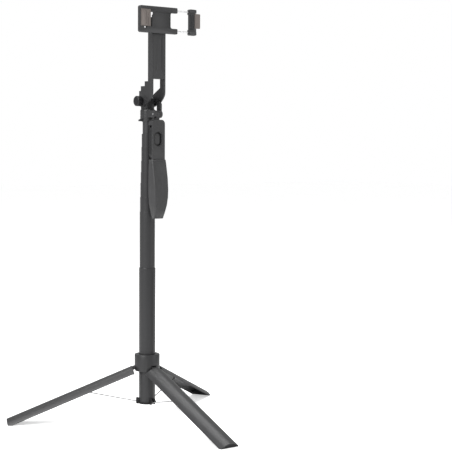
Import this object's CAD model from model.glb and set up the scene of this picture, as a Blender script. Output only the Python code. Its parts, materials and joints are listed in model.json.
import json
import math
import bmesh
import bpy
from mathutils import Matrix, Vector


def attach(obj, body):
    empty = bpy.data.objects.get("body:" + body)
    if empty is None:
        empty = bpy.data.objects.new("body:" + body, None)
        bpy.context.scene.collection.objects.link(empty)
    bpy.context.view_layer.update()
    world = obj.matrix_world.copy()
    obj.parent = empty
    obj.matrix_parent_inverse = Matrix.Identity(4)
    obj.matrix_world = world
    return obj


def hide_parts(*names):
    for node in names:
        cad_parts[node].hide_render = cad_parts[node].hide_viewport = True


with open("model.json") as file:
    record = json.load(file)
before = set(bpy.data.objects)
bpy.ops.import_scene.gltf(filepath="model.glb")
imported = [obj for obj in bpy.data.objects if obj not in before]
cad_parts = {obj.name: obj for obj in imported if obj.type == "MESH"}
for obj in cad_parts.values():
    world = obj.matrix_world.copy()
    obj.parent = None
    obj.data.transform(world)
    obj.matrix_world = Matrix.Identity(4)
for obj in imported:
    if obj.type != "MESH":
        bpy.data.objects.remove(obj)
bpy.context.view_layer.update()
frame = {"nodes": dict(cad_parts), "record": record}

MM = 0.001
body_of_node = {n: b for b, ns in frame["record"]["behaviour"]["bodies"].items() for n in ns}
slot_of_node = {s["node"]: s["material_slot"] for s in frame["record"]["subparts"]}


# ------------------------------------------------------------------ camera
def make_camera():
    az = math.radians(-33.6)
    dist, eye = 1.7888, 0.3881
    f_px, shift_px = 1194.0, 26.0
    yaw, tilt, roll = 0.0658, 0.0455, 0.005
    loc = Vector((math.sin(az) * dist, -math.cos(az) * dist, eye))
    fwd = Matrix.Rotation(-yaw, 3, "Z") @ Vector((-math.sin(az), math.cos(az), 0))
    right = fwd.cross(Vector((0, 0, 1))).normalized()
    up = right.cross(fwd)
    view = fwd * math.cos(tilt) - up * math.sin(tilt)
    up = right.cross(view)
    r2 = right * math.cos(roll) + up * math.sin(roll)
    u2 = up * math.cos(roll) - right * math.sin(roll)
    cam = bpy.data.objects.new("camera", bpy.data.cameras.new("camera"))
    bpy.context.scene.collection.objects.link(cam)
    cam.data.sensor_width = 36
    cam.data.lens = 36 * f_px / 452
    cam.data.shift_y = -shift_px / 452
    cam.matrix_world = Matrix((
        (r2.x, u2.x, -view.x, loc.x), (r2.y, u2.y, -view.y, loc.y),
        (r2.z, u2.z, -view.z, loc.z), (0, 0, 0, 1)))
    cam.data.clip_start, cam.data.clip_end = 0.05, 50
    bpy.context.scene.camera = cam


make_camera()


# ------------------------------------------------------------------ materials
class Nodes:
    def __init__(self, mat):
        self.t = mat.node_tree
        self.n = self.t.nodes
        self.l = self.t.links

    def add(self, kind, **sockets):
        node = self.n.new(kind)
        for k, v in sockets.items():
            if k in node.inputs:
                node.inputs[k].default_value = v
            else:
                setattr(node, k, v)
        return node

    def link(self, a, out, b, inp):
        self.l.new(a.outputs[out], b.inputs[inp])


def plastic(name, color, rough=0.45, var=0.12, grain=5200.0, bump=0.10, streak=None, edge=1.5, spec=0.5, coat=0.0):
    """Moulded or painted surface: fine grain, cloudy tone, handled edges."""
    mat = bpy.data.materials.new(name)
    mat.use_nodes = True
    g = Nodes(mat)
    bsdf = g.n["Principled BSDF"]
    bsdf.inputs["Specular IOR Level"].default_value = spec
    bsdf.inputs["Coat Weight"].default_value = coat
    bsdf.inputs["Coat Roughness"].default_value = 0.25
    tex = g.add("ShaderNodeTexCoord")
    # large soft tone changes
    cloud = g.add("ShaderNodeTexNoise", Scale=55.0, Detail=3.0, Roughness=0.55)
    g.link(tex, "Object", cloud, "Vector")
    fine = g.add("ShaderNodeTexNoise", Scale=grain, Detail=2.0, Roughness=0.6)
    if streak:
        mp = g.add("ShaderNodeMapping")
        mp.inputs["Scale"].default_value = streak
        g.link(tex, "Object", mp, "Vector")
        g.link(mp, "Vector", fine, "Vector")
    else:
        g.link(tex, "Object", fine, "Vector")
    tone = g.add("ShaderNodeValToRGB")
    lo = [max(0, c * (1 - var)) for c in color] + [1]
    hi = [min(1, c * (1 + var)) for c in color] + [1]
    tone.color_ramp.elements[0].position, tone.color_ramp.elements[0].color = 0.3, lo
    tone.color_ramp.elements[1].position, tone.color_ramp.elements[1].color = 0.7, hi
    g.link(cloud, "Fac", tone, "Fac")
    speck = g.add("ShaderNodeMapRange")
    speck.inputs["From Min"].default_value, speck.inputs["From Max"].default_value = 0.25, 0.75
    speck.inputs["To Min"].default_value, speck.inputs["To Max"].default_value = 1 - var * 0.8, 1 + var * 0.8
    g.link(fine, "Fac", speck, "Value")
    mul = g.add("ShaderNodeMix", data_type="RGBA", blend_type="MULTIPLY")
    mul.inputs[0].default_value = 1.0
    g.l.new(tone.outputs["Color"], mul.inputs[6])
    g.l.new(speck.outputs["Result"], mul.inputs[7])
    # edges that hands have polished are a touch paler
    geo = g.add("ShaderNodeNewGeometry")
    er = g.add("ShaderNodeMapRange")
    er.inputs["From Min"].default_value, er.inputs["From Max"].default_value = 0.53, 0.62
    er.inputs["To Min"].default_value, er.inputs["To Max"].default_value = 0.0, 1.0
    g.link(geo, "Pointiness", er, "Value")
    pale = g.add("ShaderNodeMix", data_type="RGBA", blend_type="MIX")
    g.l.new(er.outputs["Result"], pale.inputs[0])
    g.l.new(mul.outputs[2], pale.inputs[6])
    pale.inputs[7].default_value = [min(1, c * edge + 0.008) for c in color] + [1]
    g.l.new(pale.outputs[2], bsdf.inputs["Base Color"])
    rr = g.add("ShaderNodeMapRange")
    rr.inputs["To Min"].default_value, rr.inputs["To Max"].default_value = rough - 0.07, rough + 0.09
    g.link(cloud, "Fac", rr, "Value")
    g.link(rr, "Result", bsdf, "Roughness")
    bp = g.add("ShaderNodeBump", Strength=bump, Distance=0.0002)
    g.link(fine, "Fac", bp, "Height")
    g.link(bp, "Normal", bsdf, "Normal")
    return mat


def metal(name, color, rough=0.25, axis_scale=(1, 1, 1), brush=1500.0):
    mat = bpy.data.materials.new(name)
    mat.use_nodes = True
    g = Nodes(mat)
    bsdf = g.n["Principled BSDF"]
    bsdf.inputs["Metallic"].default_value = 1.0
    tex = g.add("ShaderNodeTexCoord")
    mp = g.add("ShaderNodeMapping")
    mp.inputs["Scale"].default_value = axis_scale
    g.link(tex, "Object", mp, "Vector")
    noise = g.add("ShaderNodeTexNoise", Scale=brush, Detail=3.0, Roughness=0.6)
    g.link(mp, "Vector", noise, "Vector")
    ramp = g.add("ShaderNodeValToRGB")
    ramp.color_ramp.elements[0].position, ramp.color_ramp.elements[0].color = 0.3, [c * 0.85 for c in color] + [1]
    ramp.color_ramp.elements[1].position, ramp.color_ramp.elements[1].color = 0.7, [min(1, c * 1.08) for c in color] + [1]
    g.link(noise, "Fac", ramp, "Fac")
    g.link(ramp, "Color", bsdf, "Base Color")
    rr = g.add("ShaderNodeMapRange")
    rr.inputs["To Min"].default_value, rr.inputs["To Max"].default_value = rough - 0.08, rough + 0.1
    g.link(noise, "Fac", rr, "Value")
    g.link(rr, "Result", bsdf, "Roughness")
    bp = g.add("ShaderNodeBump", Strength=0.08, Distance=0.0001)
    g.link(noise, "Fac", bp, "Height")
    g.link(bp, "Normal", bsdf, "Normal")
    return mat


M = {
    "plastic_grey": plastic("plastic_grey", (0.023, 0.023, 0.024), rough=0.40, var=0.12, spec=0.42),
    "plastic_dark": plastic("plastic_dark", (0.008, 0.008, 0.009), rough=0.42, var=0.2, spec=0.3),
    "leaf_grey": plastic("leaf_grey", (0.033, 0.033, 0.034), rough=0.46, var=0.16, grain=900.0, bump=0.3, streak=(1.0, 1.0, 0.03), spec=0.42),
    "painted_tube": plastic("painted_tube", (0.017, 0.017, 0.018), rough=0.36, var=0.09, grain=1500.0, bump=0.05, streak=(1.0, 1.0, 0.05), spec=0.34, coat=0.04),
    "pad": plastic("pad", (0.15, 0.13, 0.12), rough=0.68, var=0.10, grain=3400.0, bump=0.22, edge=1.12, spec=0.3),
    "rubber_black": plastic("rubber_black", (0.012, 0.012, 0.013), rough=0.72, var=0.25, grain=2600.0, bump=0.30, spec=0.3),
    "steel": metal("steel", (0.66, 0.66, 0.67), rough=0.24, axis_scale=(1, 1, 1)),
    "nylon": plastic("nylon", (0.70, 0.70, 0.66), rough=0.5, var=0.05, edge=1.05),
    "board": plastic("board", (0.015, 0.10, 0.045), rough=0.4, var=0.2, grain=1800.0),
}


def paint(obj, key):
    mat = M[key]
    if obj.material_slots:
        for s in obj.material_slots:
            s.material = mat
    else:
        obj.data.materials.append(mat)


for n, o in frame["nodes"].items():
    paint(o, slot_of_node[n])


# ------------------------------------------------------------------ refined copies
def smooth(obj, angle=35):
    for p in obj.data.polygons:
        p.use_smooth = True
    obj.data.set_sharp_from_angle(angle=math.radians(angle))


def fresh(node, name=None, flat=0.8):
    """Welded copy of a CAD node's mesh, flat regions rejoined, in an object of its own."""
    src = frame["nodes"][node]
    me = bpy.data.meshes.new(name or node + "_skin")
    bm = bmesh.new()
    bm.from_mesh(src.data)
    bm.transform(src.matrix_world)
    bmesh.ops.remove_doubles(bm, verts=bm.verts, dist=2e-6)
    bmesh.ops.dissolve_limit(bm, angle_limit=math.radians(flat), verts=bm.verts, edges=bm.edges, delimit={"NORMAL"})
    bmesh.ops.recalc_face_normals(bm, faces=bm.faces)
    bm.to_mesh(me)
    bm.free()
    ob = bpy.data.objects.new(me.name, me)
    bpy.context.scene.collection.objects.link(ob)
    return ob


def finish_piece(ob, node, key=None):
    key = key or slot_of_node[node]
    ob.data.materials.clear()
    ob.data.materials.append(M[key])
    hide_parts(node)
    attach(ob, body_of_node[node])
    return ob


def rounded(node, width=0.35, segs=2, angle=32, key=None):
    """CAD node with its hard edges rolled over."""
    ob = fresh(node)
    bv = ob.modifiers.new("round", "BEVEL")
    bv.width = width * MM
    bv.segments = segs
    bv.limit_method = "ANGLE"
    bv.angle_limit = math.radians(angle)
    bv.use_clamp_overlap = True
    bv.harden_normals = False
    bv.miter_outer = "MITER_ARC"
    smooth(ob, 40)
    return finish_piece(ob, node, key)


for n, w in {
    "arm_frame": 0.45, "arm_cover": 0.3, "clamp_frame": 0.5, "clamp_back": 0.2, "jaw": 0.4,
    "head_base": 0.4, "head_tongue": 0.4, "handle_frame": 0.5, "collar": 0.3, "foot_hub": 0.25,
    "tilt_knob": 0.3, "remote_front": 0.35, "remote_back": 0.6, "remote_button": 0.2, "flap_left": 0.35, "flap_right": 0.4,
    "leg_foot_1": 0.4, "leg_foot_2": 0.4, "leg_foot_3": 0.4, "leg_1": 0.35, "leg_2": 0.35, "leg_3": 0.35,
}.items():
    rounded(n, w)


# crowned leaf of the handle, its front one smooth sweep with only the rim left sharp
leaf = fresh("leaf", flat=0.05)
smooth(leaf, 58)
finish_piece(leaf, "leaf")


# ------------------------------------------------------------------ floor, light
def make_stage():
    me = bpy.data.meshes.new("floor")
    bm = bmesh.new()
    bmesh.ops.create_grid(bm, x_segments=2, y_segments=2, size=9)
    bm.to_mesh(me)
    bm.free()
    floor = bpy.data.objects.new("floor", me)
    floor.location = (0, 0, -0.0265)
    bpy.context.scene.collection.objects.link(floor)
    mat = bpy.data.materials.new("floor_white")
    mat.use_nodes = True
    g = Nodes(mat)
    b = g.n["Principled BSDF"]
    b.inputs["Roughness"].default_value = 0.5
    b.inputs["Specular IOR Level"].default_value = 0.25
    tex = g.add("ShaderNodeTexCoord")
    noise = g.add("ShaderNodeTexNoise", Scale=2.0, Detail=2.0)
    g.link(tex, "Object", noise, "Vector")
    ramp = g.add("ShaderNodeValToRGB")
    ramp.color_ramp.elements[0].color = (0.93, 0.93, 0.93, 1)
    ramp.color_ramp.elements[1].color = (0.96, 0.96, 0.96, 1)
    g.link(noise, "Fac", ramp, "Fac")
    g.link(ramp, "Color", b, "Base Color")
    # lifts the paper to a clean white in the picture without lighting the object
    lp = g.add("ShaderNodeLightPath")
    lift = g.add("ShaderNodeMapRange")
    lift.inputs["To Min"].default_value, lift.inputs["To Max"].default_value = 0.0, 0.50
    g.link(lp, "Is Camera Ray", lift, "Value")
    b.inputs["Emission Color"].default_value = (1, 1, 1, 1)
    g.link(lift, "Result", b, "Emission Strength")
    me.materials.append(mat)

    world = bpy.data.worlds.new("studio")
    bpy.context.scene.world = world
    world.use_nodes = True
    w = Nodes(world)
    bg = w.n["Background"]
    bg.inputs["Color"].default_value = (1, 1, 1, 1)
    bg.inputs["Strength"].default_value = 0.52
    seen = w.add("ShaderNodeBackground")
    seen.inputs["Color"].default_value = (1, 1, 1, 1)
    seen.inputs["Strength"].default_value = 1.0
    lp = w.add("ShaderNodeLightPath")
    mixs = w.add("ShaderNodeMixShader")
    w.l.new(lp.outputs["Is Camera Ray"], mixs.inputs[0])
    w.l.new(bg.outputs[0], mixs.inputs[1])
    w.l.new(seen.outputs[0], mixs.inputs[2])
    w.l.new(mixs.outputs[0], w.n["World Output"].inputs["Surface"])

    def area(name, loc, target, size, power, color=(1, 1, 1)):
        l = bpy.data.lights.new(name, "AREA")
        l.shape = "RECTANGLE"
        l.size, l.size_y = size
        l.energy = power
        l.color = color
        o = bpy.data.objects.new(name, l)
        bpy.context.scene.collection.objects.link(o)
        o.location = loc
        o.rotation_mode = "QUATERNION"
        o.rotation_quaternion = (Vector(target) - Vector(loc)).to_track_quat("-Z", "Y")

    area("key", (-1.9, -0.5, 1.5), (0, 0, 0.25), (1.0, 1.4), 46)
    area("fill", (1.4, -1.7, 0.9), (0, 0, 0.3), (0.8, 1.4), 7)
    area("top", (0.1, 0.4, 2.2), (0, 0, 0.2), (1.6, 1.6), 38)


make_stage()
sc = bpy.context.scene
sc.view_settings.view_transform = "Standard"
sc.view_settings.look = "None"
